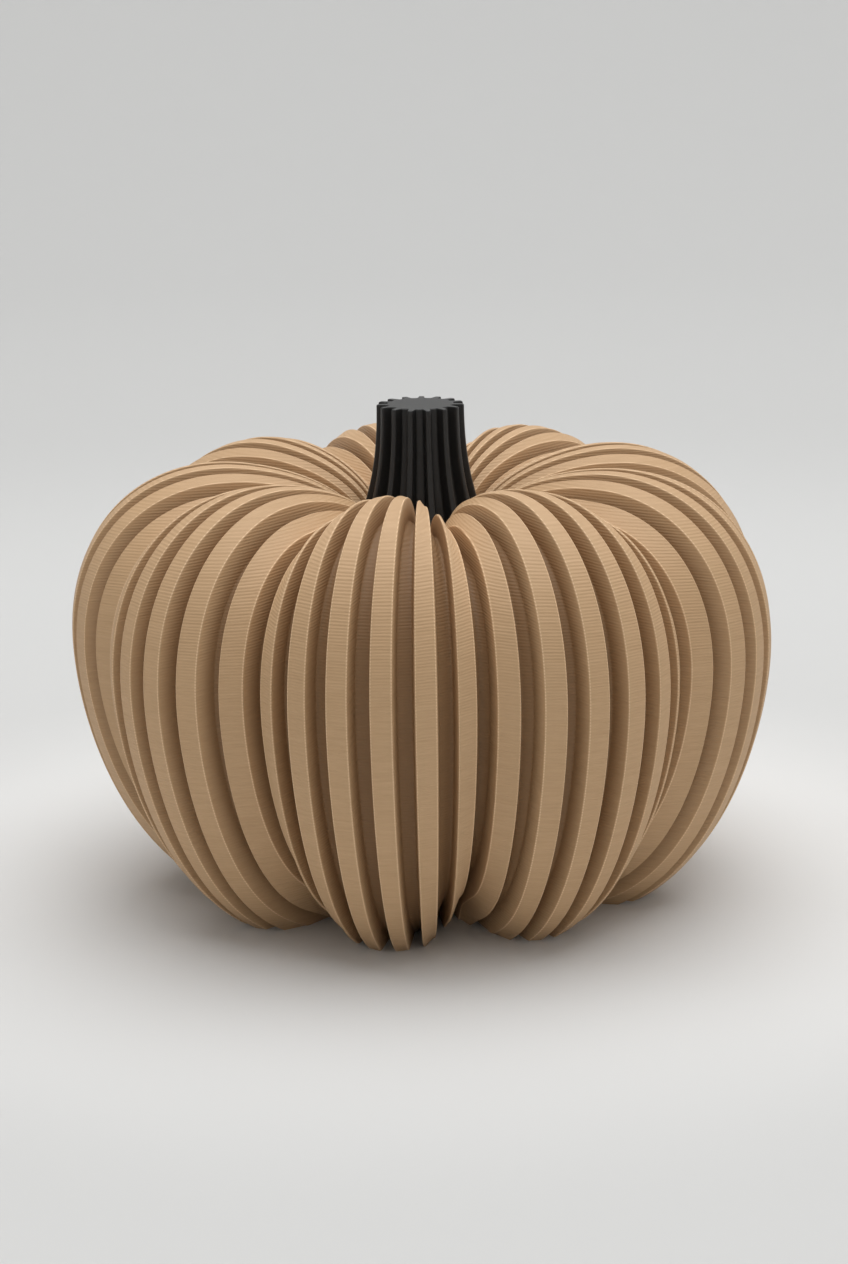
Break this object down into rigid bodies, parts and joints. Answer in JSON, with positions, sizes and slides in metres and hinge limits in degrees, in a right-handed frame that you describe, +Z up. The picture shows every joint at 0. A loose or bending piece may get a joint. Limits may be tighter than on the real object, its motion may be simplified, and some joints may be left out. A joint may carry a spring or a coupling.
{
  "type": "decorative pumpkin",
  "caption": "Lobed decorative pumpkin with upright box ribs, a flat foot and a fluted dark stem in its crown.",
  "frame": {"origin": "centre of the flat foot, where the body stands on a surface", "axes": "+Z up along the middle of the stem, -Y through the crest of the front lobe, +X to the right seen from the front"},
  "size_m": [0.125, 0.1239, 0.0875],
  "materials": {
    "body": "matte tan printed plastic with fine level layer lines",
    "stem": "satin black printed plastic with fine level layer lines"
  },
  "bodies": {
    "root": {"body": "body", "stem": "stem"}
  },
  "joints": []
}
